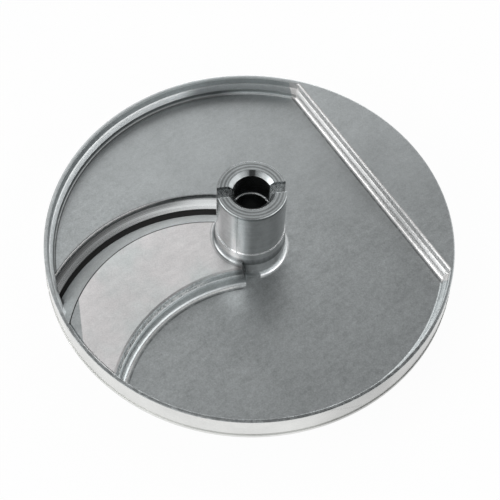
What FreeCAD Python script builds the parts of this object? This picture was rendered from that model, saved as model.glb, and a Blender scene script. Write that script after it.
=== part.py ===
# Slicing disc with a curved blade, hub side up: a cast disc, a steel blade and its three screws.
# Sizes are millimetres. The disc rests on its food side at z = 0 and the hub's axis is the z axis.
import math
import os

import FreeCAD
import Part

from FreeCAD import Vector

# Tray: rim, skirt and plate
rim_radius = 87.5
rim_height = 13.2
rim_top_width = 1.25
rim_outer_round = 0.45
skirt_draft = 0.25
lip_radius = 88.1
lip_height = 2.1
lip_groove = 0.35
lip_edge = 0.5
plate_thickness = 4.2

# Section that the tray's inner walls share, from the top: a rounded edge, an upper wall, a sloping
# ledge that falls to a lower wall, and a hollow root. Runs are measured across the wall.
ledge_height = 9.5
ledge_curve = 1.4
edge_facets = 2
ledge_facets = 3
root_facets = 3

# Rim wall
rim_edge_round = 0.25
rim_upper_run = 0.4
rim_ledge_run = 1.3
rim_ledge_fall = 2.7
rim_lower_run = 0.1
rim_root_round = 0.9

# Thick sector, between the curved slot and the curved step
sector_height = 12.7
sector_end_x = -2.7
sector_end_foot_x = -0.6
flank_x = -14.5
flank_y = -51.6
flank_top_radius = 57.25
flank_foot_radius = 66.45
step_x = 11.5
step_y = -78.5
step_top_radius = 63.8
step_edge_round = 1.3
step_upper_run = 0.4
step_ledge_run = 0.7
step_ledge_fall = 1.4
step_lower_run = 0.5
step_root_round = 1.7

# Fine groove where the thick sector meets the rim
rim_groove_radius = 85.5
rim_groove_width = 0.7
rim_groove_depth = 0.45

# Small sloping facet at the sector's outer corner
facet_far_x = -69.1
facet_far_y = -36.4
facet_near_x = -66.45
facet_near_y = -49.3
facet_slope = 4.0

# Thick segment behind the straight step
segment_azimuth = 34.5
segment_top_distance = 63.8
segment_edge_round = 1.0
segment_upper_run = 0.25
segment_ledge_run = 0.7
segment_ledge_fall = 1.8
segment_lower_run = 0.1
segment_root_round = 1.25
corner_fillet = 1.3

# Boss and hub
hub_radius = 14.4
hub_top = 46.6
hub_edge = 0.35
boss_top = 19.7
boss_shoulder = 0.35
boss_draft = 0.9
boss_fillet = 1.6
boss_fillet_facets = 3
boss_fillet_end_x = 5.4
bore_radius = 8.0
bore_mouth_width = 1.75
bore_step_depth = 14.0
bore_step = 0.35
bore_floor = 5.0
bore_floor_edge = 0.8
notch_width = 5.0
notch_depth = 15.0
notch_azimuth = 10.0

# Slot and blade
plate_edge_x = -13.6
plate_edge_y = -47.7
plate_edge_radius = 73.3
plate_edge_round = 0.9
slot_outer_radius = 84.0
blade_x = -15.0
blade_y = -47.2
blade_edge_radius = 67.8
blade_width = 19.0
blade_thickness = 2.0
blade_outer_radius = 85.0
blade_inner_radius = 18.6
blade_end_x = -3.0
blade_bevel_width = 5.4
blade_bevel_curve = 1.35
blade_bevel_facets = 4
blade_edge_thickness = 0.25
seat_clearance = 0.15

# Recess on the food side, ahead of the blade: its depth is the slice's thickness
slice_thickness = 4.0
ramp_azimuth = 128.0
ramp_start = -8.0
ramp_end = 22.0
recess_outer_radius = 83.0
recess_inner_radius = 19.5

# Blade screws
screw_azimuths = (94.0, 119.0, 144.0)
screw_line = 12.3
screw_radius = 2.0
screw_head_radius = 3.2
screw_head_height = 1.2
screw_length = 3.4
screw_first_turn = 15.0
screw_turn_step = 40.0
screw_clearance = 0.05
screw_tip_room = 0.2
screw_slot_width = 0.9
screw_slot_depth = 0.6

# Room by which a cutting shape passes the face that it opens
over = 1.0

up = Vector(0, 0, 1)


def outline(*points):
    """Closed wire in the xz plane."""
    corners = [Vector(x, 0, z) for x, z in points]
    return Part.makePolygon(corners + corners[:1])


def edge_round(x, z, radius, side, facets):
    """Points of a round edge about x, z, from its top down to the side given."""
    points = []
    for number in range(1, facets + 1):
        angle = math.radians(90.0 * number / facets)
        points.append((x + side * radius * math.sin(angle), z + radius * math.cos(angle)))
    return points


def falling_ledge(x, run, fall, side):
    """Points of a ledge that starts at x and falls, ever steeper, to the lower wall on the side given."""
    points = []
    for number in range(1, ledge_facets + 1):
        share = number / ledge_facets
        points.append((x + side * run * share, ledge_height - fall * share ** ledge_curve))
    return points


def root_fillet(x, z, radius, side, facets):
    """Points of a hollow round down a wall at x and out along a floor at z, to the side given."""
    points = []
    for number in range(facets + 1):
        angle = math.radians(90.0 * number / facets)
        run = radius * (1 - math.cos(angle))
        points.append((x + side * run, z + radius * (1 - math.sin(angle))))
    return points


def turned(wire, x=0.0, y=0.0):
    """Solid turned from an outline about the upright axis at x, y."""
    solid = Part.Face(wire).revolve(Vector(0, 0, 0), up, 360)
    solid.translate(Vector(x, y, 0))
    return solid


def cylinder(radius, low, high, x=0.0, y=0.0):
    return Part.makeCylinder(radius, high - low, Vector(x, y, low))


def left_of(x):
    """Half space as a large block on the side of smaller x."""
    size = 4 * lip_radius
    return Part.makeBox(size, 2 * size, size, Vector(x - size, -size, -size / 2))


def rim_wall():
    """Top edge of the rim's inner wall and the rest of its section."""
    section = (
        rim_edge_round, rim_upper_run, rim_ledge_run, rim_ledge_fall, rim_lower_run, rim_root_round,
    )
    return rim_radius - rim_top_width, section


def segment_wall():
    """Top edge of the straight step, as a distance from the hub's axis, and the rest of its section."""
    section = (
        segment_edge_round, segment_upper_run, segment_ledge_run, segment_ledge_fall,
        segment_lower_run, segment_root_round,
    )
    return segment_top_distance, section


def step_wall():
    """Top edge of the curved step and the rest of its section."""
    section = (
        step_edge_round, step_upper_run, step_ledge_run, step_ledge_fall, step_lower_run, step_root_round,
    )
    return step_top_radius, section


def wall_middles(edge, section, side):
    """Where the upper and the lower wall of a stepped wall lie, halfway up each."""
    edge_round_radius, upper_run, ledge_run, _, lower_run, _ = section
    upper = edge + side * (edge_round_radius + upper_run / 2)
    lower = edge + side * (edge_round_radius + upper_run + ledge_run + lower_run / 2)
    return upper, lower


def stepped_wall(edge, section, top, side):
    """Points of an inner wall from its top edge down to the plate. Side is +1 where the wall runs outward."""
    edge_round_radius, upper_run, ledge_run, ledge_fall, lower_run, root_round = section
    ledge_back = edge + side * (edge_round_radius + upper_run)
    root = ledge_back + side * (ledge_run + lower_run)
    return (
        (edge, top),
        *edge_round(edge, top - edge_round_radius, edge_round_radius, side, edge_facets),
        (ledge_back, ledge_height),
        *falling_ledge(ledge_back, ledge_run, ledge_fall, side),
        *root_fillet(root, plate_thickness, root_round, side, root_facets),
    )


def tray():
    """Plate, rim and skirt, turned in one."""
    outer = rim_radius - rim_outer_round
    outer_round = edge_round(outer, rim_height - rim_outer_round, rim_outer_round, 1, edge_facets)
    wall = stepped_wall(*rim_wall(), rim_height, -1)
    skirt_foot = rim_radius + skirt_draft
    groove_low = lip_height + lip_groove
    return turned(outline(
        (0, 0),
        (lip_radius - lip_edge, 0),
        (lip_radius, lip_edge),
        (lip_radius, lip_height),
        (skirt_foot - lip_groove, lip_height),
        (skirt_foot - lip_groove, groove_low),
        (skirt_foot, groove_low + lip_groove),
        *reversed(outer_round),
        (outer, rim_height),
        *wall,
        (0, plate_thickness),
    ))


def sector_side():
    """Block on the sector's side of its end face, which slopes out toward its foot."""
    reach = 2 * lip_radius
    face = Part.Face(outline(
        (-reach, 0),
        (sector_end_foot_x, 0),
        (sector_end_foot_x, plate_thickness),
        (sector_end_x, sector_height),
        (sector_end_x, hub_top),
        (-reach, hub_top),
    ))
    block = face.extrude(Vector(0, 2 * reach, 0))
    block.translate(Vector(0, -reach, 0))
    return block


def sector():
    """Thick sector: inside the flank's cone and outside the curved step."""
    flank = turned(outline(
        (0, 0),
        (flank_foot_radius, 0),
        (flank_foot_radius, plate_thickness),
        (flank_top_radius, sector_height),
        (0, sector_height),
    ), flank_x, flank_y)
    wall = stepped_wall(*step_wall(), sector_height, -1)
    room = turned(outline(
        (0, sector_height + over),
        (step_top_radius, sector_height + over),
        *wall,
        (0, plate_thickness),
    ), step_x, step_y)
    inside = cylinder(rim_radius - rim_top_width / 2, 0, rim_height)
    solid = flank.cut(room).common(inside)
    return solid.common(sector_side()).cut([facet_cutter(), rim_groove()])


def rim_groove():
    """Cutter for the fine groove between the thick sector and the rim."""
    inner = rim_groove_radius - rim_groove_width / 2
    outer = rim_groove_radius + rim_groove_width / 2
    return turned(outline(
        (inner, sector_height),
        (rim_groove_radius, sector_height - rim_groove_depth),
        (outer, sector_height),
        (outer, sector_height + over),
        (inner, sector_height + over),
    ))


def facet_cutter():
    """Block over the small facet at the sector's outer corner. It slopes down toward the rim."""
    far = Vector(facet_far_x, facet_far_y, sector_height)
    near = Vector(facet_near_x, facet_near_y, sector_height)
    length = (near - far).Length
    block = Part.makeBox(3 * length, length, 3 * length)
    block.rotate(Vector(0, 0, 0), Vector(0, 1, 0), -facet_slope)
    block.rotate(Vector(0, 0, 0), up, math.degrees(math.atan2(near.y - far.y, near.x - far.x)) - 90)
    block.translate(far)
    return block


def segment():
    """Thick segment, level with the rim, behind the straight step."""
    wall = stepped_wall(*segment_wall(), rim_height, -1)
    wire = outline(
        (lip_radius + over, 0),
        (lip_radius + over, rim_height),
        *wall,
        (wall[-1][0], 0),
    )
    half_chord = lip_radius
    block = Part.Face(wire).extrude(Vector(0, 2 * half_chord, 0))
    block.translate(Vector(0, -half_chord, 0))
    block.rotate(Vector(0, 0, 0), up, segment_azimuth)
    return block.common(cylinder(rim_radius - rim_top_width / 2, 0, rim_height))


def corner_post(wall_radius, wall_distance, low, high, edge, side):
    """Hollow round up the corner where the straight step meets the rim's wall."""
    centre_x = wall_distance - corner_fillet
    centre_y = side * math.sqrt((wall_radius - corner_fillet) ** 2 - centre_x ** 2)
    behind = wall_distance + over
    outside = wall_radius + over
    ratio = outside / (wall_radius - corner_fillet)
    corners = (
        (centre_x, centre_y),
        (behind, centre_y),
        (behind, side * math.sqrt(outside ** 2 - behind ** 2)),
        (centre_x * ratio, centre_y * ratio),
    )
    points = [Vector(x, y, low) for x, y in corners]
    post = Part.Face(Part.makePolygon(points + points[:1])).extrude(Vector(0, 0, high - low))
    room = turned(outline(
        (0, low - over),
        (corner_fillet, low - over),
        (corner_fillet, high - edge),
        (corner_fillet + edge, high),
        (corner_fillet + edge, high + over),
        (0, high + over),
    ), centre_x, centre_y)
    post = post.cut(room)
    post.rotate(Vector(0, 0, 0), up, segment_azimuth)
    return post


def corner_posts():
    """Rounded corners at both ends of the straight step, above and below its ledge."""
    rim_upper, rim_lower = wall_middles(*rim_wall(), -1)
    step_upper, step_lower = wall_middles(*segment_wall(), -1)
    ledge_foot = ledge_height - rim_ledge_fall
    posts = []
    for side in (-1, 1):
        posts.append(corner_post(rim_lower, step_lower, over, ledge_foot, rim_edge_round, side))
        posts.append(corner_post(rim_upper, step_upper, over, rim_height, segment_edge_round, side))
    return posts


def boss_radius(z):
    """Radius of the drafted boss at height z."""
    return hub_radius + boss_shoulder + boss_draft * (boss_top - z) / (boss_top - plate_thickness)


def hub():
    """Boss and turned hub. The round at the boss's foot on the low plate stops short of the sector."""
    foot = boss_radius(plate_thickness + boss_fillet)
    fillet = root_fillet(foot, plate_thickness, boss_fillet, 1, boss_fillet_facets)
    width = boss_fillet_end_x - sector_end_x
    bare = Part.makeBox(width, foot + boss_fillet, boss_fillet)
    bare.translate(Vector(sector_end_x, -foot - boss_fillet, plate_thickness))
    bare = bare.cut(cylinder(foot, 0, boss_top))
    return turned(outline(
        (0, 0),
        (foot + boss_fillet, 0),
        *reversed(fillet),
        (boss_radius(boss_top), boss_top),
        (hub_radius, boss_top),
        (hub_radius, hub_top - hub_edge),
        (hub_radius - hub_edge, hub_top),
        (0, hub_top),
    )).cut(bare)


def boss_foot_on_sector():
    """Round at the boss's foot where it stands on the thick sector."""
    foot = boss_radius(sector_height + boss_fillet)
    fillet = root_fillet(foot, sector_height, boss_fillet, 1, boss_fillet_facets)
    ring = turned(outline(
        (hub_radius - over, plate_thickness),
        (foot + boss_fillet, plate_thickness),
        *reversed(fillet),
        (hub_radius - over, sector_height + boss_fillet),
    ))
    stands_on = cylinder(flank_top_radius, 0, hub_top, flank_x, flank_y)
    past_step = cylinder(step_top_radius, 0, hub_top, step_x, step_y)
    return ring.common(stands_on).cut(past_step).common(left_of(sector_end_x))


def bore():
    """Blind bore with its coned mouth and the small step inside."""
    step_z = hub_top - bore_step_depth
    low_radius = bore_radius - bore_step
    return turned(outline(
        (0, bore_floor),
        (low_radius - bore_floor_edge, bore_floor),
        (low_radius, bore_floor + bore_floor_edge),
        (low_radius, step_z),
        (bore_radius, step_z),
        (bore_radius, hub_top - bore_mouth_width),
        (bore_radius + bore_mouth_width + over, hub_top + over),
        (0, hub_top + over),
    ))


def drive_notches():
    """Notch sawn right across the hub's end."""
    length = 2 * hub_radius + 2 * over
    block = Part.makeBox(length, notch_width, notch_depth + over)
    block.translate(Vector(-length / 2, -notch_width / 2, hub_top - notch_depth))
    block.rotate(Vector(0, 0, 0), up, notch_azimuth)
    return block


def slot():
    """Opening through the plate, from its rounded curved edge to the sector's flank."""
    corner = plate_edge_radius + plate_edge_round
    low = plate_thickness - plate_edge_round
    edge = turned(outline(
        (0, -over),
        (plate_edge_radius, -over),
        *reversed(edge_round(corner, low, plate_edge_round, -1, edge_facets)),
        (corner, plate_thickness),
        (corner, rim_height),
        (0, rim_height),
    ), plate_edge_x, plate_edge_y)
    kept = turned(outline(
        (0, -2 * over),
        (flank_foot_radius, -2 * over),
        (flank_foot_radius, plate_thickness),
        (flank_top_radius, sector_height),
        (flank_top_radius, rim_height + over),
        (0, rim_height + over),
    ), flank_x, flank_y)
    within = cylinder(slot_outer_radius, -2 * over, plate_thickness + rim_root_round)
    around_boss = cylinder(blade_inner_radius - over, -3 * over, rim_height)
    return edge.cut(kept).common(within).cut(around_boss).common(left_of(sector_end_x))


def recess():
    """Ramp on the food side under the sector. It falls to the slice's thickness at the slot."""
    reach = 2 * lip_radius
    wire = outline(
        (ramp_start, 0),
        (ramp_end, slice_thickness),
        (reach, slice_thickness),
        (reach, -over),
        (ramp_start, -over),
    )
    block = Part.Face(wire).extrude(Vector(0, 2 * reach, 0))
    block.translate(Vector(0, -reach, 0))
    block.rotate(Vector(0, 0, 0), up, ramp_azimuth)
    area = cylinder(flank_foot_radius + over, -over, slice_thickness, flank_x, flank_y)
    area = area.cut(cylinder(step_top_radius, -2 * over, rim_height, step_x, step_y))
    area = area.common(cylinder(recess_outer_radius, -over, rim_height))
    area = area.cut(cylinder(recess_inner_radius, -2 * over, rim_height))
    area = area.common(left_of(sector_end_x))
    return block.common(area)


def blade_plan(low, high, room):
    """Curved strip of the blade's outline, made larger all round by the room given."""
    back = cylinder(blade_edge_radius + blade_width + room, low, high, blade_x, blade_y)
    front = cylinder(blade_edge_radius - room, low - over, high + over, blade_x, blade_y)
    strip = back.cut(front)
    strip = strip.common(cylinder(blade_outer_radius + room, low, high))
    strip = strip.cut(cylinder(blade_inner_radius - room, low - over, high + over))
    return strip.common(left_of(blade_end_x + room))


def blade_bevel():
    """Cutter above the ground face along the cutting edge. The face curves down toward the edge."""
    points = []
    for number in range(blade_bevel_facets + 1):
        share = number / blade_bevel_facets
        rise = (blade_thickness - blade_edge_thickness) * (1 - (1 - share) ** blade_bevel_curve)
        points.append((blade_edge_radius + share * blade_bevel_width, blade_edge_thickness + rise))
    return turned(outline(
        (blade_edge_radius - over, blade_edge_thickness),
        *points,
        (blade_edge_radius + blade_bevel_width, blade_thickness + over),
        (blade_edge_radius - over, blade_thickness + over),
    ), blade_x, blade_y)


def screw_places():
    """Centres of the screws, along the blade's middle under the plate."""
    radius = blade_edge_radius + screw_line
    places = []
    for azimuth in screw_azimuths:
        angle = math.radians(azimuth)
        places.append(Vector(blade_x + radius * math.cos(angle), blade_y + radius * math.sin(angle), 0))
    return places


def screw_shape(room, tip):
    """Countersunk screw, head down at z = 0. Room widens the shank and tip lengthens it."""
    wire = outline(
        (0, 0),
        (screw_head_radius, 0),
        (screw_radius, screw_head_height),
        (screw_radius, blade_thickness),
        (screw_radius + room, blade_thickness),
        (screw_radius + room, screw_length + tip),
        (0, screw_length + tip),
    )
    return turned(wire)


def screw():
    solid = screw_shape(0, 0)
    groove = Part.makeBox(3 * screw_head_radius, screw_slot_width, screw_slot_depth + over)
    groove.translate(Vector(-1.5 * screw_head_radius, -screw_slot_width / 2, -over))
    return solid.cut(groove)


def disc_body():
    body = tray().fuse([sector(), segment(), *corner_posts(), hub(), boss_foot_on_sector()])
    body = body.cut([bore(), drive_notches(), slot(), recess()])
    seat = blade_plan(-over, blade_thickness, seat_clearance)
    body = body.cut(seat)
    for place in screw_places():
        hole = screw_shape(screw_clearance, screw_tip_room)
        hole.translate(place)
        body = body.cut(hole)
    return body.removeSplitter()


def slicing_blade():
    blade = blade_plan(0, blade_thickness, 0).cut(blade_bevel())
    for place in screw_places():
        hole = screw_shape(0, 0)
        hole.translate(place)
        blade = blade.cut(hole)
    return blade


def blade_screws():
    screws = []
    for number, place in enumerate(screw_places()):
        one = screw()
        one.rotate(Vector(0, 0, 0), up, screw_first_turn + screw_turn_step * number)
        one.translate(place)
        screws.append(one)
    return Part.makeCompound(screws)


def main():
    os.makedirs("parts", exist_ok=True)
    pieces = {
        "disc_body": disc_body(),
        "slicing_blade": slicing_blade(),
        "blade_screws": blade_screws(),
    }
    for name, shape in pieces.items():
        shape.exportStep("parts/" + name + ".step")


main()
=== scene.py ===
import math

import bpy
from mathutils import Matrix, Vector

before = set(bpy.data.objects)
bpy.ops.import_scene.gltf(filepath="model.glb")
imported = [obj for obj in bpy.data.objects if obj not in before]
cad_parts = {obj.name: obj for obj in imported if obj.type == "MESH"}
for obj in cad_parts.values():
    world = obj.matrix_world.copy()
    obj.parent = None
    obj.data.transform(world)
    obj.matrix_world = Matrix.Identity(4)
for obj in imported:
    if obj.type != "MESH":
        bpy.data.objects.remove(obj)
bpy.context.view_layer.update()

# Places on the disc that the finishes follow, the same as in the model's source
mm = 0.001
rim_radius = 87.5 * mm
rim_height = 13.2 * mm
rim_inner_radius = 86.25 * mm
ledge_outer_radius = 85.6 * mm
ledge_inner_radius = 84.3 * mm
ledge_top = 9.5 * mm
ledge_low = 6.8 * mm
plate_height = 4.2 * mm
sector_height = 12.7 * mm
flank_centre = (-14.5 * mm, -51.6 * mm)
flank_top_radius = 57.25 * mm
flank_foot_radius = 66.45 * mm
step_centre = (11.5 * mm, -78.5 * mm)
step_round_foot = (62.5 * mm, 11.4 * mm)
step_root_radius = 59.2 * mm
segment_azimuth = math.radians(34.5)
segment_distance = 63.8 * mm
segment_root_distance = 60.5 * mm
facet_far = (-69.1 * mm, -36.4 * mm)
facet_near = (-66.45 * mm, -49.3 * mm)
hub_radius = 14.4 * mm
hub_top = 46.6 * mm
boss_top = 19.7 * mm
bore_radius = 8.0 * mm
bore_mouth_width = 1.75 * mm
bore_step_depth = 14.0 * mm
notch_half_width = 2.5 * mm
notch_depth = 15.0 * mm
notch_azimuth = math.radians(10.0)
blade_centre = (-15.0 * mm, -47.2 * mm)
blade_edge_radius = 67.8 * mm
blade_bevel_width = 5.4 * mm
plate_edge_centre = (-13.6 * mm, -47.7 * mm)
plate_edge_radius = 73.3 * mm

# Reach of the boss's turned side, and of the hollow at its foot
boss_radius = 16.0 * mm
boss_root_inner = 15.6 * mm
boss_root_outer = 17.4 * mm

# Lowest heights of marks on the hub side, so that none reaches the food side
plate_mark_low = 3.7 * mm
slot_mark_low = 1.5 * mm
bore_mark_low = 3.0 * mm

# Fine upright line that a tool left on the hub
hub_line_azimuth = math.radians(-111.5)
hub_line_half_width = 0.16 * mm

# Painted shade on one side of the skirt, and the lighter patch on the plate in front of the boss
skirt_shade_azimuth = math.radians(-45.0)
patch_centre = (-6.5 * mm, -26.0 * mm)
patch_reach = 9.0 * mm

# Painted shade in the corner where the curved step ends at the boss
corner_shade_centre = (-2.6 * mm, -16.4 * mm)
corner_shade_reach = 4.6 * mm

# Painted highlight: a bright streak above that corner, on the turned hub
hub_highlight_azimuth = math.radians(-110.0)
hub_highlight_left = 2.2 * mm
hub_highlight_right = 2.0 * mm

# Colours of the finishes, and of the painted highlights and shade
cast = (0.47, 0.496, 0.502, 1.0)
ground_warm = (0.775, 0.76, 0.762, 1.0)
ground_cool = (0.70, 0.73, 0.728, 1.0)
# Dark cast colour, also used as painted shade on the back of the rim's ledge
dark_cast = (0.26, 0.275, 0.28, 1.0)
facet_skin = (0.43, 0.455, 0.46, 1.0)
flank_metal = (0.385, 0.40, 0.402, 1.0)
# Light colour of the rim's ledge, also painted as a highlight in the hollow at the boss's foot
bright_cast = (0.68, 0.70, 0.705, 1.0)
bare_wall = (0.62, 0.61, 0.605, 1.0)
turned_skirt = (0.74, 0.745, 0.73, 1.0)
turned_hub = (0.78, 0.80, 0.805, 1.0)
hub_end_metal = (0.42, 0.445, 0.45, 1.0)
# Dark colour of the painted shade and reflection on edges and in hollows, and of the sector's seam
shade_and_seam_dark = (0.03, 0.03, 0.03, 1.0)
# Colour of the painted highlights on rounded edges and in hollows
painted_highlight_metal = (0.92, 0.92, 0.91, 1.0)
blade_metal = (0.86, 0.885, 0.89)
screw_metal = (0.68, 0.68, 0.67)
# Painted shade on the floor under the disc
under_disc_painted_shade = (0.03, 0.03, 0.03, 1.0)
open_paper = (0.88, 0.88, 0.88, 1.0)
white = (1.0, 1.0, 1.0, 1.0)

# Heights of the surface marks, and the round that edges seem to have
grain_height = 0.012 * mm
mottle_height = 0.026 * mm
ring_height = 0.008 * mm
steel_mark_height = 0.004 * mm
soft_edge = 0.25 * mm

# Widths over which a finish fades out at its edges
crisp = 0.05 * mm
sharp = 0.1 * mm
close = 0.15 * mm
soft = 0.2 * mm
wide = 0.3 * mm

# Roughness of the metals where nothing changes it
cast_roughness = 0.31
blade_roughness = 0.22
blade_mark_roughness = 0.1

# Floor's half width, its gap below the disc, and how white the camera sees it
floor_reach = 4.0
floor_gap = 0.1 * mm
floor_whiteness = 0.95

# Soft lights of the studio. Each has an azimuth from the x axis and a height above the floor, both in
# degrees, then its sharpness and its strength.
soft_lights = (
    (90, 6, 14, 5.2),
    (225, 6, 14, 3.0),
    (187, 17, 20, 5.0),
    (-52, 28, 30, 1.5),
    (-25, 23, 40, 2.4),
    (-3, 17, 40, 2.4),
    (18, 12, 40, 2.4),
    (38, 20, 30, 1.4),
    (270, 6, 14, 1.2),
    (315, 6, 14, 0.4),
    (125, 24, 14, 2.1),
    (45, 30, 14, 0.8),
    (90, 42, 30, 0.6),
    (128, 52, 30, 0.9),
    (225, 30, 14, 0.7),
    (235, 58, 60, 1.8),
    (0, 90, 14, 0.55),
    (0, 90, 60, 0.9),
)

# Camera, worked out from the photograph's ellipses, with its lens and its sensor's width in millimetres
camera_place = Vector((0.34 * mm, -293.79 * mm, 471.37 * mm))
camera_elevation = math.radians(58.045)
camera_roll = math.radians(2.804)
camera_lens = 91.84
camera_sensor = 36.0


class Graph:
    """Short calls that add nodes to one tree."""

    def __init__(self, tree):
        self.tree = tree
        tree.nodes.clear()

    def locate(self):
        """Keeps the place in the row's frame, its parts and its distance from the hub's axis."""
        self.place = self.node("ShaderNodeTexCoord").outputs["Object"]
        self.x, self.y, self.z = self.node("ShaderNodeSeparateXYZ", {0: self.place}).outputs
        self.radius = self.distance((0.0, 0.0))

    def node(self, kind, inputs=None, **settings):
        """New node with its settings. An input is a socket to link or a value to set."""
        made = self.tree.nodes.new(kind)
        for name, value in settings.items():
            setattr(made, name, value)
        for name, value in (inputs or {}).items():
            self.put(made.inputs[name], value)
        return made

    def put(self, socket, value):
        if isinstance(value, bpy.types.NodeSocket):
            self.tree.links.new(value, socket)
        else:
            socket.default_value = value

    def math(self, operation, *values, clamp=False):
        made = self.node("ShaderNodeMath", operation=operation, use_clamp=clamp)
        for socket, value in zip(made.inputs, values):
            self.put(socket, value)
        return made.outputs[0]

    def total(self, *values):
        """Sum of several values."""
        result = values[0]
        for value in values[1:]:
            result = self.math("ADD", result, value)
        return result

    def product(self, *values):
        """Product of several values."""
        result = values[0]
        for value in values[1:]:
            result = self.math("MULTIPLY", result, value)
        return result

    def weighted(self, *pairs):
        """Sum of values, each times its weight."""
        return self.total(*[self.product(value, weight) for value, weight in pairs])

    def centred(self, value):
        """A noise value that swings about zero."""
        return self.math("SUBTRACT", value, 0.5)

    def outside(self, mask):
        """One where a mask is zero, and zero where it is one."""
        return self.math("SUBTRACT", 1.0, mask)

    def step(self, value, low, high, start=0.0, end=1.0):
        """Smooth change from start to end as the value goes from low to high."""
        made = self.node("ShaderNodeMapRange", interpolation_type="SMOOTHSTEP")
        names = ("Value", "From Min", "From Max", "To Min", "To Max")
        for name, given in zip(names, (value, low, high, start, end)):
            self.put(made.inputs[name], given)
        return made.outputs["Result"]

    def above(self, value, low, fade):
        """Zero up to low, and one from low plus the fade."""
        return self.step(value, low, low + fade)

    def below(self, value, high, fade):
        """One up to high, and zero from high plus the fade."""
        return self.step(value, high, high + fade, start=1.0, end=0.0)

    def band(self, value, low, high, fade):
        """One between low and high, with a fade outside them, and zero elsewhere."""
        return self.product(self.above(value, low - fade, fade), self.below(value, high, fade))

    def mix(self, factor, first, second):
        """Colour from the first to the second."""
        made = self.node("ShaderNodeMix", data_type="RGBA")
        for number, value in ((0, factor), (6, first), (7, second)):
            self.put(made.inputs[number], value)
        return made.outputs[2]

    def painted(self, colour, coats):
        """Colour under coats, each with a mask, a strength and a colour of its own."""
        for mask, strength, coat in coats:
            colour = self.mix(self.product(mask, strength), colour, coat)
        return colour

    def scaled(self, colour, factor):
        """Colour made lighter or darker by a factor that varies."""
        made = self.node("ShaderNodeVectorMath", operation="SCALE")
        self.put(made.inputs[0], colour)
        self.put(made.inputs["Scale"], factor)
        return made.outputs[0]

    def noise(self, place, scale, detail=3.0, rough=0.55):
        made = self.node("ShaderNodeTexNoise", {
            "Vector": place, "Scale": scale, "Detail": detail, "Roughness": rough})
        return made.outputs["Fac"]

    def patches(self, scale, rough, low, high, least=0.0, most=1.0):
        """Uneven patches that change from least to most as a noise goes from low to high."""
        uneven = self.noise(self.place, scale, detail=4.0, rough=rough)
        return self.step(uneven, low, high, least, most)

    def stretched(self, size, turn=0.0):
        """The place, turned about the upright axis, with marks that are longer by a size along each axis."""
        made = self.node("ShaderNodeMapping", {
            "Vector": self.place, "Rotation": (0.0, 0.0, turn), "Scale": size}, vector_type="TEXTURE")
        return made.outputs[0]

    def combined(self, first, second):
        """A place that changes with two values alone, for lathe marks."""
        made = self.node("ShaderNodeCombineXYZ", {"X": first, "Y": second})
        return made.outputs[0]

    def distance(self, centre):
        """Distance of a point from an upright axis."""
        dx = self.math("SUBTRACT", self.x, centre[0])
        dy = self.math("SUBTRACT", self.y, centre[1])
        return self.math("SQRT", self.total(self.product(dx, dx), self.product(dy, dy)))

    def along(self, azimuth):
        """How far a point lies from the hub's axis in the direction of an azimuth."""
        return self.weighted((self.x, math.cos(azimuth)), (self.y, math.sin(azimuth)))


def new_material(name):
    """New material with its tree, in which the place on the disc is known."""
    material = bpy.data.materials.new(name)
    material.use_nodes = True
    graph = Graph(material.node_tree)
    graph.locate()
    return material, graph


def give(node, material):
    """Puts a material in every slot of a CAD node."""
    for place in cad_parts[node].material_slots:
        place.material = material


def metal(graph, colour, rough, height, distance=1.0):
    """Bare metal with rounded edges and a relief, as the tree's surface."""
    rounded = graph.node("ShaderNodeBevel", {"Radius": soft_edge}, samples=4)
    bump = graph.node("ShaderNodeBump", {
        "Strength": 1.0, "Distance": distance, "Height": height, "Normal": rounded.outputs[0]})
    shader = graph.node("ShaderNodeBsdfPrincipled", {
        "Base Color": colour, "Metallic": 1.0, "Roughness": rough, "Normal": bump.outputs[0]})
    graph.node("ShaderNodeOutputMaterial", {"Surface": shader.outputs[0]})


def inside_rim(graph):
    """Short of the rim's inner wall."""
    clearance = 0.4 * mm
    return graph.below(graph.radius, rim_inner_radius - clearance, clearance)


def beyond_facet(graph):
    """How far a point lies beyond the facet's line, on the rim's side."""
    run = (facet_near[0] - facet_far[0], facet_near[1] - facet_far[1])
    length = math.hypot(*run)
    outward = (run[1] / length, -run[0] / length)
    line = facet_far[0] * outward[0] + facet_far[1] * outward[1]
    return graph.total(graph.weighted((graph.x, outward[0]), (graph.y, outward[1])), -line)


def corner_facet(graph):
    """Where the small facet at the sector's outer corner keeps its cast skin."""
    depth = 1.2 * mm
    end_fade = 2.0 * mm
    return graph.product(
        graph.above(beyond_facet(graph), -sharp, wide),
        graph.band(graph.z, sector_height - depth, sector_height, sharp),
        graph.below(graph.distance(flank_centre), flank_top_radius, soft),
        graph.below(graph.y, facet_far[1], end_fade),
        graph.above(graph.y, facet_near[1] - end_fade, end_fade),
        inside_rim(graph))


def sector_top(graph):
    """Where the thick sector's ground top is, short of the facet and the boss's foot."""
    depth = 0.28 * mm
    boss_fade = 0.6 * mm
    segment_fade = 1.5 * mm
    return graph.product(
        graph.band(graph.z, sector_height - depth, sector_height + crisp, sharp),
        graph.below(beyond_facet(graph), -soft, wide),
        graph.above(graph.radius, boss_root_inner, boss_fade),
        graph.below(graph.along(segment_azimuth), segment_distance - segment_fade, segment_fade))


def sector_seam(graph):
    """Fine dark line between the sector's ground top and its flank."""
    inner = flank_top_radius - 0.22 * mm
    outer = flank_top_radius + 0.18 * mm
    fade = 0.12 * mm
    depth = 0.5 * mm
    return graph.product(
        graph.band(graph.distance(flank_centre), inner, outer, fade),
        graph.band(graph.z, sector_height - depth, sector_height + sharp, sharp),
        inside_rim(graph))


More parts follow.
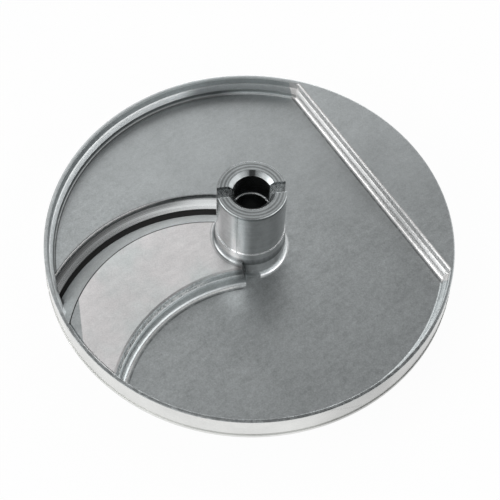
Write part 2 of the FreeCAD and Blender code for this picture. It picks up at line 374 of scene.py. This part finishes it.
def flank(graph):
    """Where the flank's cone is."""
    slope = (flank_foot_radius - flank_top_radius) / (sector_height - plate_height)
    from_cone = graph.total(
        graph.distance(flank_centre),
        graph.product(graph.z, slope),
        -flank_top_radius - sector_height * slope)
    return graph.product(
        graph.band(from_cone, -wide, wide, sharp),
        graph.band(graph.z, plate_height + soft, sector_height - sharp, sharp))


def rim_ledge(graph):
    """Where the sloping ledge round the rim's inner wall is."""
    fade = 0.08 * mm
    return graph.product(
        graph.band(graph.radius, ledge_inner_radius, ledge_outer_radius, fade),
        graph.band(graph.z, ledge_low, ledge_top, sharp))


def ledge_back_painted_shade(graph, on_ledge):
    """Painted shade on the back of the rim's ledge."""
    left_end, left_fade = -38.0 * mm, 12.0 * mm
    right_end, right_fade = 60.0 * mm, 2.0 * mm
    return graph.product(
        on_ledge,
        graph.above(graph.x, left_end, left_fade),
        graph.above(graph.y, right_end, right_fade))


def segment_wall(graph):
    """Where the straight step's bare wall is."""
    top_width = 0.9 * mm
    return graph.product(
        graph.band(
            graph.along(segment_azimuth), segment_root_distance - wide, segment_distance + top_width, wide),
        graph.band(graph.z, plate_height + close, rim_height - close, sharp),
        inside_rim(graph))


def rim_root_painted_shade(graph):
    """Painted shade in the hollow at the rim's foot on the left."""
    width = 1.0 * mm
    end, end_fade = -20.0 * mm, 15.0 * mm
    return graph.product(
        graph.band(graph.radius, ledge_inner_radius - width, ledge_inner_radius, close),
        graph.band(graph.z, plate_height - sharp, ledge_low - soft, sharp),
        graph.below(graph.x, end, end_fade))


def rim_edge(graph):
    """Painted shade on the rim's outer edge at the back, and a speckled darker top at the front."""
    edge_width = 0.45 * mm
    edge_depth = 1.0 * mm
    edge_fade = 0.4 * mm
    edge_strength = 0.6
    back_end, back_fade = -20.0 * mm, 30.0 * mm
    back = graph.product(
        graph.above(graph.radius, rim_radius - edge_width, soft),
        graph.above(graph.z, rim_height - edge_depth, edge_fade),
        graph.above(graph.y, back_end, back_fade),
        edge_strength)
    top_width = 0.5 * mm
    top_depth = 0.4 * mm
    front_end, front_fade = -50.0 * mm, 25.0 * mm
    front = graph.product(
        graph.above(graph.radius, rim_inner_radius - top_width, soft),
        graph.above(graph.z, rim_height - top_depth, soft),
        graph.below(graph.y, front_end, front_fade),
        graph.patches(scale=500.0, rough=0.65, low=0.35, high=0.6, least=0.15, most=0.5))
    return graph.math("MAXIMUM", back, front)


def slot_edge_painted_highlight(graph):
    """Painted highlight: a bright line along the low plate's rounded edge, away from the hub."""
    inner = plate_edge_radius + 0.1 * mm
    outer = plate_edge_radius + 0.5 * mm
    end, end_fade = -50.0 * mm, 16.0 * mm
    return graph.product(
        graph.band(graph.distance(plate_edge_centre), inner, outer, close),
        graph.band(graph.z, slot_mark_low, plate_height + soft, soft),
        graph.below(graph.x, end, end_fade))


def slot_edge_painted_shade(graph):
    """Painted shade: a rough dark line along the low plate's rounded edge over the blade."""
    inner = plate_edge_radius - 0.1 * mm
    outer = plate_edge_radius + 0.35 * mm
    edge_fade = 0.35 * mm
    hub_end_x, hub_fade = -13.0 * mm, 2.0 * mm
    rim_end_x, rim_fade = -46.0 * mm, 22.0 * mm
    return graph.product(
        graph.band(graph.distance(plate_edge_centre), inner, outer, edge_fade),
        graph.band(graph.z, slot_mark_low, plate_height + soft, soft),
        graph.below(graph.x, hub_end_x, hub_fade),
        graph.above(graph.x, rim_end_x, rim_fade),
        graph.patches(scale=700.0, rough=0.7, low=0.35, high=0.62, least=0.2))


def boss_foot(graph):
    """Where the boss rounds into the sector, left dull by the tool."""
    inner = hub_radius + 0.7 * mm
    outer = hub_radius + 2.6 * mm
    height = 3.5 * mm
    return graph.product(
        graph.band(graph.radius, inner, outer, wide),
        graph.band(graph.z, sector_height + close, sector_height + height, wide))


def boss_root_painted_highlight(graph):
    """Painted highlight in the turned hollow at the boss's foot on the low plate, on its right side."""
    low = plate_height + 0.08 * mm
    high = plate_height + 3.0 * mm
    start, start_fade = 0.5 * mm, 5.5 * mm
    return graph.product(
        graph.band(graph.radius, boss_root_inner, boss_root_outer, soft),
        graph.band(graph.z, low, high, sharp),
        graph.above(graph.x, start, start_fade))


def within_boss(graph):
    """Out to the boss's side."""
    fade = 0.6 * mm
    return graph.below(graph.radius, boss_radius, fade)


def turned_hub_side(graph):
    """Where the hub with its boss is turned bright."""
    low, low_fade = 6.0 * mm, 2.0 * mm
    return graph.product(within_boss(graph), graph.above(graph.z, low, low_fade))


def turned_skirt_side(graph):
    """Where the skirt is turned bright."""
    margin = 0.5 * mm
    return graph.product(
        graph.above(graph.radius, rim_radius - margin, wide),
        graph.below(graph.z, rim_height - margin, wide))


def hub_end(graph):
    """Where the hub's end, its outer edge and its coned mouth are."""
    return graph.product(
        graph.below(graph.radius, hub_radius + sharp, soft),
        graph.above(graph.z, hub_top - bore_mouth_width, sharp))


def mouth_painted_reflection(graph):
    """Painted reflection: a dark patch at the back of the bore's coned mouth."""
    left = -1.2 * mm
    right = 0.6 * mm
    side_fade = 0.7 * mm
    near, near_fade = 6.0 * mm, 1.0 * mm
    reach = bore_radius + 1.7 * mm
    return graph.product(
        graph.band(graph.x, left, right, side_fade),
        graph.above(graph.y, near, near_fade),
        graph.below(graph.radius, reach, soft),
        graph.above(graph.z, hub_top - bore_mouth_width - soft, soft))


def hub_side_at(graph, azimuth):
    """The half of the turned hub's side that faces an azimuth."""
    return graph.product(
        graph.above(graph.along(azimuth), 0.0, hub_radius / 2),
        graph.above(graph.radius, hub_radius - soft, sharp))


def hub_painted_highlight(graph):
    """Painted highlight: a bright streak up the turned hub, stronger towards its foot."""
    side_fade = 1.6 * mm
    low, low_fade = plate_height - 2.0 * mm, 1.5 * mm
    full_below, least = 18.0 * mm, 0.45
    return graph.product(
        graph.band(
            graph.along(hub_highlight_azimuth + math.pi / 2), -hub_highlight_left, hub_highlight_right, side_fade),
        hub_side_at(graph, hub_highlight_azimuth),
        within_boss(graph),
        graph.above(graph.z, low, low_fade),
        graph.step(graph.z, full_below, hub_top, start=1.0, end=least))


def hub_line(graph):
    """Where the fine upright line on the hub is."""
    top_margin, end_fade = 1.0 * mm, 2.0 * mm
    across = graph.along(hub_line_azimuth + math.pi / 2)
    return graph.product(
        graph.band(across, -hub_line_half_width, hub_line_half_width, hub_line_half_width),
        hub_side_at(graph, hub_line_azimuth),
        graph.band(graph.z, boss_top, hub_top - top_margin, end_fade))


def hub_top_rings(graph):
    """Fine turned rings on the hub's end, lighter and darker in turn."""
    pair_width = 1.45 * mm
    narrowness = 3.0
    inner = bore_radius + 1.9 * mm
    wave = graph.math("SINE", graph.product(graph.radius, 2 * math.pi / pair_width))
    narrow = graph.math("POWER", graph.math("ABSOLUTE", wave), narrowness)
    return graph.product(
        narrow,
        graph.math("SIGN", wave),
        graph.above(graph.z, hub_top - wide, soft),
        graph.above(graph.radius, inner, wide))


def bore_inside(graph):
    """Where painted shade darkens the bore below its coned mouth, apart from the thin step."""
    mouth_fade = 0.4 * mm
    floor_fade = 2.0 * mm
    step_z = hub_top - bore_step_depth
    return graph.product(
        graph.below(graph.radius, bore_radius + sharp, soft),
        graph.below(graph.z, hub_top - bore_mouth_width - mouth_fade, mouth_fade),
        graph.above(graph.z, bore_mark_low, floor_fade),
        graph.outside(graph.band(graph.z, step_z - sharp, step_z + sharp, crisp)))


def notch_walls(graph):
    """Where the sawn notch's walls and floor are."""
    margin, fade = 0.02 * mm, 0.04 * mm
    across = graph.math("ABSOLUTE", graph.along(notch_azimuth + math.pi / 2))
    return graph.product(
        graph.below(across, notch_half_width + margin, fade),
        graph.band(graph.z, hub_top - notch_depth - sharp, hub_top - sharp, crisp),
        graph.below(graph.radius, hub_radius - close, sharp))


def step_wall(graph):
    """Where the curved step's wall is, between its rounds."""
    inner = step_root_radius + 0.5 * mm
    low = plate_height + 1.0 * mm
    return graph.product(
        graph.band(graph.distance(step_centre), inner, step_round_foot[0], wide),
        graph.band(graph.z, low, step_round_foot[1], wide),
        inside_rim(graph))


def step_root_painted_highlight(graph):
    """Painted highlight in the hollow at the curved step's foot."""
    inner = step_root_radius + 0.05 * mm
    outer = step_root_radius + 0.6 * mm
    high, high_fade = plate_height + 1.6 * mm, 0.4 * mm
    end, end_fade = -8.0 * mm, 6.0 * mm
    return graph.product(
        graph.band(graph.distance(step_centre), inner, outer, soft),
        graph.band(graph.z, plate_mark_low, high, high_fade),
        graph.below(graph.x, end, end_fade),
        inside_rim(graph))


def step_end_painted_shade(graph):
    """Painted shade in the dark corner where the curved step runs into the boss."""
    full = 1.0 * mm
    plate_fade = 2.8 * mm
    top_fade = 1.8 * mm
    return graph.product(
        graph.below(graph.distance(corner_shade_centre), full, corner_shade_reach - full),
        graph.above(graph.z, plate_height + soft, plate_fade),
        graph.below(graph.z, sector_height + soft, top_fade))


def bright_patch(graph):
    """Lighter patch on the low plate in front of the boss."""
    return graph.product(
        graph.below(graph.distance(patch_centre), 0.0, patch_reach),
        graph.band(graph.z, plate_mark_low, plate_height + sharp, wide))


def step_far_side(graph):
    """The curved step's half that lies away from the boss."""
    end, end_fade = -22.0 * mm, 8.0 * mm
    return graph.product(graph.below(graph.x, end, end_fade), inside_rim(graph))


def step_edge_painted_highlight(graph):
    """Painted highlight, broken, along the curved step's rounded edge."""
    inner = step_round_foot[0] - 0.5 * mm
    outer = step_round_foot[0] - 0.1 * mm
    low = step_round_foot[1] - 1.8 * mm
    high = step_round_foot[1] + 0.3 * mm
    return graph.product(
        graph.band(graph.distance(step_centre), inner, outer, close),
        graph.band(graph.z, low, high, soft),
        graph.patches(scale=650.0, rough=0.75, low=0.40, high=0.54),
        step_far_side(graph))


def step_edge_painted_shade(graph):
    """Painted shade in dark dashes above the painted highlight on the curved step's edge."""
    inner = step_round_foot[0] + 0.05 * mm
    outer = step_round_foot[0] + 0.4 * mm
    low = step_round_foot[1] - 0.2 * mm
    return graph.product(
        graph.band(graph.distance(step_centre), inner, outer, soft),
        graph.band(graph.z, low, sector_height, sharp),
        graph.patches(scale=620.0, rough=0.7, low=0.42, high=0.58),
        step_far_side(graph))


def root_shadows(graph):
    """Dark rough line on the plate along the feet of the curved and the straight step."""
    curved_inner = step_root_radius - 1.1 * mm
    curved_outer = step_root_radius - 0.7 * mm
    boss_end, boss_fade = -3.0 * mm, 3.0 * mm
    curved = graph.product(
        graph.band(graph.distance(step_centre), curved_inner, curved_outer, wide),
        graph.below(graph.x, boss_end, boss_fade))
    straight_inner = segment_root_distance - 0.6 * mm
    straight_outer = segment_root_distance - 0.1 * mm
    straight = graph.band(graph.along(segment_azimuth), straight_inner, straight_outer, wide)
    return graph.product(
        graph.math("MAXIMUM", curved, straight),
        graph.patches(scale=380.0, rough=0.65, low=0.3, high=0.6, least=0.35),
        graph.band(graph.z, plate_mark_low, plate_height + wide, wide),
        inside_rim(graph))


def cast_masks(graph):
    """Masks of the cast body that several of its finishes use."""
    on = {
        "sector": sector_top(graph),
        "flank": flank(graph),
        "ledge": rim_ledge(graph),
        "straight step": segment_wall(graph),
        "hub": turned_hub_side(graph),
        "hub end": hub_end(graph),
        "skirt": turned_skirt_side(graph),
        "step root highlight": step_root_painted_highlight(graph),
        "step edge highlight": step_edge_painted_highlight(graph),
        "slot edge highlight": slot_edge_painted_highlight(graph),
    }
    on["turned"] = graph.math("MAXIMUM", on["hub"], on["skirt"])
    on["rough"] = graph.outside(on["turned"])
    return on


def cast_noises(graph):
    """Noises of the cast body's surface, from coarse to fine, then those of tools."""
    streak_place = graph.stretched((5.0, 1.0, 1.0), math.radians(40.0))
    lathe_place = graph.combined(graph.product(graph.radius, 0.1), graph.z)
    sawn_place = graph.stretched((1.0, 1.0, 4.0))
    return {
        "blotch": graph.noise(graph.place, scale=55.0, detail=4.0, rough=0.6),
        "mottle": graph.noise(graph.place, scale=420.0, detail=4.0, rough=0.62),
        "grain": graph.noise(graph.place, scale=1500.0, detail=3.0, rough=0.75),
        "streak": graph.noise(streak_place, scale=600.0, detail=4.0, rough=0.6),
        "lathe": graph.noise(lathe_place, scale=1000.0, detail=4.0, rough=0.7),
        "sawn": graph.noise(sawn_place, scale=1800.0, detail=4.0, rough=0.8),
    }


def cast_shade(graph, on, noises):
    """How much lighter or darker than its colour each place of the cast body is: mottling, grain and tool
    marks, and painted highlight and shade on the hub, the skirt and the steps.
    """
    back_start, back_end = 0.0, 40.0 * mm
    back_calm = 0.55
    sector_calm = 0.45
    skirt_calm = 0.8
    left_side, left_fade = -13.0 * mm, 8.0 * mm
    skirt_shade_start = 76.0 * mm
    front_end, front_fade = -10.0 * mm, 45.0 * mm
    calm = graph.product(
        graph.step(graph.y, back_start, back_end, start=1.0, end=back_calm),
        graph.outside(graph.product(on["sector"], sector_calm)))
    calm_rough = graph.product(calm, on["rough"])
    calm_skirt = graph.product(calm, graph.outside(graph.product(on["skirt"], skirt_calm)))
    hub_left_painted_shade = graph.below(graph.x, left_side, left_fade)
    skirt_painted_shade = graph.above(graph.along(skirt_shade_azimuth), skirt_shade_start, rim_radius - skirt_shade_start)
    front = graph.below(graph.y, front_end, front_fade)
    change = graph.weighted(
        (graph.centred(noises["blotch"]), 0.34),
        (graph.product(calm_skirt, graph.centred(noises["mottle"])), 0.42),
        (graph.product(calm_rough, graph.centred(noises["grain"])), 0.85),
        (graph.product(calm_rough, graph.centred(noises["streak"])), 0.32),
        (graph.product(on["hub"], graph.centred(noises["lathe"])), 0.50),
        (hub_top_rings(graph), 0.34),
        (hub_line(graph), -0.35),
        (hub_painted_highlight(graph), 0.38),
        # Painted shade on the hub's left side
        (graph.product(on["hub"], hub_left_painted_shade), -0.18),
        # Painted shade on the skirt's side towards the front right
        (graph.product(on["skirt"], skirt_painted_shade), -0.36),
        # Painted shade: the curved step's wall a little darker
        (step_wall(graph), -0.04),
        (bright_patch(graph), 0.28),
        # Painted light: the straight step's wall lighter towards its front
        (graph.product(on["straight step"], front), 0.3))
    return graph.total(change, 1.0)


def cast_colour(graph, on, noises):
    """Colour of the cast body, coat by coat: finishes, painted highlights and painted shade on edges and in
    hollows, then its shades, the painted shade in the bore and the notch's saw marks.
    """
    bore_shade_strength = 0.58
    cool = graph.step(graph.noise(graph.place, scale=38.0, detail=3.0, rough=0.5), low=0.4, high=0.6)
    ground = graph.mix(cool, ground_warm, ground_cool)
    in_mouth = graph.below(graph.radius, bore_radius + bore_mouth_width, close)
    colour = graph.mix(on["sector"], cast, ground)
    colour = graph.painted(colour, (
        (on["flank"], 1.0, flank_metal),
        (corner_facet(graph), 1.0, facet_skin),
        (on["ledge"], 1.0, bright_cast),
        (ledge_back_painted_shade(graph, on["ledge"]), 1.0, dark_cast),
        (on["step root highlight"], 0.8, painted_highlight_metal),
        (on["straight step"], 1.0, bare_wall),
        (on["skirt"], 1.0, turned_skirt),
        (on["hub"], 1.0, turned_hub),
        (boss_root_painted_highlight(graph), 1.0, bright_cast),
        (boss_foot(graph), 0.85, dark_cast),
        (on["hub end"], 1.0, hub_end_metal),
        (graph.product(on["hub end"], in_mouth), 0.75, dark_cast),
        (on["step edge highlight"], 1.0, painted_highlight_metal),
        (on["slot edge highlight"], 1.0, painted_highlight_metal),
        (step_edge_painted_shade(graph), 0.35, shade_and_seam_dark),
        (mouth_painted_reflection(graph), 0.75, shade_and_seam_dark),
        (rim_root_painted_shade(graph), 0.65, shade_and_seam_dark),
        (rim_edge(graph), 1.0, shade_and_seam_dark),
        (step_end_painted_shade(graph), 0.75, shade_and_seam_dark),
        (root_shadows(graph), 0.55, shade_and_seam_dark),
        (slot_edge_painted_shade(graph), 0.5, shade_and_seam_dark)))
    colour = graph.scaled(colour, cast_shade(graph, on, noises))
    # Painted shade inside the bore
    colour = graph.scaled(colour, graph.outside(graph.product(bore_inside(graph), bore_shade_strength)))
    notch_loss = graph.step(noises["sawn"], low=0.35, high=0.65, start=0.45, end=-0.5)
    colour = graph.scaled(colour, graph.outside(graph.product(notch_walls(graph), notch_loss)))
    return graph.mix(sector_seam(graph), colour, shade_and_seam_dark)


def cast_metal():
    """Cast aluminium: matt plates, ground sector, bare ledge, and a turned hub and skirt."""
    material, graph = new_material("cast_metal")
    on = cast_masks(graph)
    noises = cast_noises(graph)
    roughness_change = graph.weighted(
        (graph.centred(noises["mottle"]), 0.04),
        (on["ledge"], 0.15),
        (on["flank"], 0.22),
        (on["straight step"], 0.12),
        (on["slot edge highlight"], 0.30),
        (on["step root highlight"], 0.14),
        (on["sector"], 0.04),
        (on["turned"], -0.06),
        (on["step edge highlight"], 0.15))
    relief = graph.weighted(
        (graph.product(noises["grain"], on["rough"]), grain_height),
        (graph.product(noises["mottle"], on["rough"]), mottle_height),
        (graph.product(noises["lathe"], on["hub"]), ring_height))
    metal(graph, cast_colour(graph, on, noises), graph.total(cast_roughness, roughness_change), relief)
    return material


def blade_steel():
    """Ground steel with fine marks along the edge, with painted reflection that makes it darker away from
    the cutting edge and from the hub, and painted shade under the low plate's edge.
    """
    material, graph = new_material("blade_steel")
    reach = graph.distance(blade_centre)
    far = blade_edge_radius + blade_bevel_width
    dark_start, dark_fade = far - 3.6 * mm, 1.4 * mm
    marks = graph.noise(graph.combined(reach, 0.0), scale=2500.0)
    seat_shade_strength = graph.step(graph.x, -40.0 * mm, -22.0 * mm, start=0.6, end=0.15)
    outer = graph.product(graph.above(reach, dark_start, dark_fade), seat_shade_strength)
    # Painted reflection darker away from the cutting edge and lighter towards the hub, painted shade under
    # the plate's edge, and the marks
    tone = graph.product(
        graph.step(reach, blade_edge_radius, far, start=1.0, end=0.8),
        graph.outside(outer),
        graph.step(graph.x, -52.0 * mm, -16.0 * mm, start=0.98, end=1.10),
        graph.step(marks, low=0.2, high=0.8, start=0.92, end=1.0))
    rough = graph.total(graph.product(marks, blade_mark_roughness), blade_roughness)
    metal(graph, graph.scaled(blade_metal, tone), rough, marks, steel_mark_height)
    return material


def screw_steel():
    """Turned stainless steel of the screws."""
    material, graph = new_material("screw_steel")
    marks = graph.noise(graph.place, scale=1800.0)
    tone = graph.step(marks, low=0.2, high=0.8, start=0.85, end=1.0)
    rough = graph.step(marks, low=0.2, high=0.8, start=0.22, end=0.36)
    metal(graph, graph.scaled(screw_metal, tone), rough, marks, steel_mark_height)
    return material


def floor_paper():
    """White to the camera and to reflections, pale to other light, and dark with painted shade under the
    disc.
    """
    edge_width = 3.0 * mm
    material, graph = new_material("floor_paper")
    away = graph.above(graph.radius, rim_radius - edge_width, edge_width)
    path = graph.node("ShaderNodeLightPath")
    seen = graph.math("ADD", path.outputs["Is Camera Ray"], path.outputs["Is Glossy Ray"], clamp=True)
    seen = graph.product(seen, away, floor_whiteness)
    paper = graph.node("ShaderNodeBsdfDiffuse", {"Color": graph.mix(away, under_disc_painted_shade, open_paper)})
    glow = graph.node("ShaderNodeEmission", {"Color": white, "Strength": 1.0})
    both = graph.node("ShaderNodeMixShader", {0: seen, 1: paper.outputs[0], 2: glow.outputs[0]})
    graph.node("ShaderNodeOutputMaterial", {"Surface": both.outputs[0]})
    return material


def floor():
    """Pale floor that keeps the disc's soft shadow."""
    mesh = bpy.data.meshes.new("floor")
    corners = [
        (-floor_reach, -floor_reach, 0),
        (floor_reach, -floor_reach, 0),
        (floor_reach, floor_reach, 0),
        (-floor_reach, floor_reach, 0)]
    mesh.from_pydata(corners, [], [(0, 1, 2, 3)])
    mesh.materials.append(floor_paper())
    plane = bpy.data.objects.new("floor", mesh)
    plane.location.z = -floor_gap
    bpy.context.scene.collection.objects.link(plane)


def studio():
    """Soft lights round the disc, added up in the world, which is plain white to the camera."""
    world = bpy.data.worlds.new("studio")
    world.use_nodes = True
    bpy.context.scene.world = world
    graph = Graph(world.node_tree)
    direction = graph.node("ShaderNodeTexCoord").outputs["Generated"]
    lights = []
    for azimuth, height, sharpness, strength in soft_lights:
        turn, rise = math.radians(azimuth), math.radians(height)
        toward = (math.cos(turn) * math.cos(rise), math.sin(turn) * math.cos(rise), math.sin(rise))
        facing = graph.node("ShaderNodeVectorMath", {0: direction, 1: toward}, operation="DOT_PRODUCT")
        facing = graph.math("MAXIMUM", facing.outputs["Value"], 0.0)
        lights.append(graph.product(graph.math("POWER", facing, float(sharpness)), strength))
    path = graph.node("ShaderNodeLightPath")
    level = graph.math("MAXIMUM", graph.total(*lights), path.outputs["Is Camera Ray"])
    background = graph.node("ShaderNodeBackground", {"Color": white, "Strength": level})
    graph.node("ShaderNodeOutputWorld", {"Surface": background.outputs[0]})


def camera():
    """Camera at the photograph's place, looking down at the disc."""
    data = bpy.data.cameras.new("camera")
    data.sensor_fit = "HORIZONTAL"
    data.sensor_width = camera_sensor
    data.lens = camera_lens
    made = bpy.data.objects.new("camera", data)
    pitch = Matrix.Rotation(math.pi / 2 - camera_elevation, 4, "X")
    roll = Matrix.Rotation(camera_roll, 4, "Z")
    made.matrix_world = Matrix.Translation(camera_place) @ pitch @ roll
    bpy.context.scene.collection.objects.link(made)
    bpy.context.scene.camera = made


def dress():
    give("disc_body", cast_metal())
    give("slicing_blade", blade_steel())
    give("blade_screws", screw_steel())


bpy.context.scene.view_settings.view_transform = "Standard"
camera()
dress()
floor()
studio()
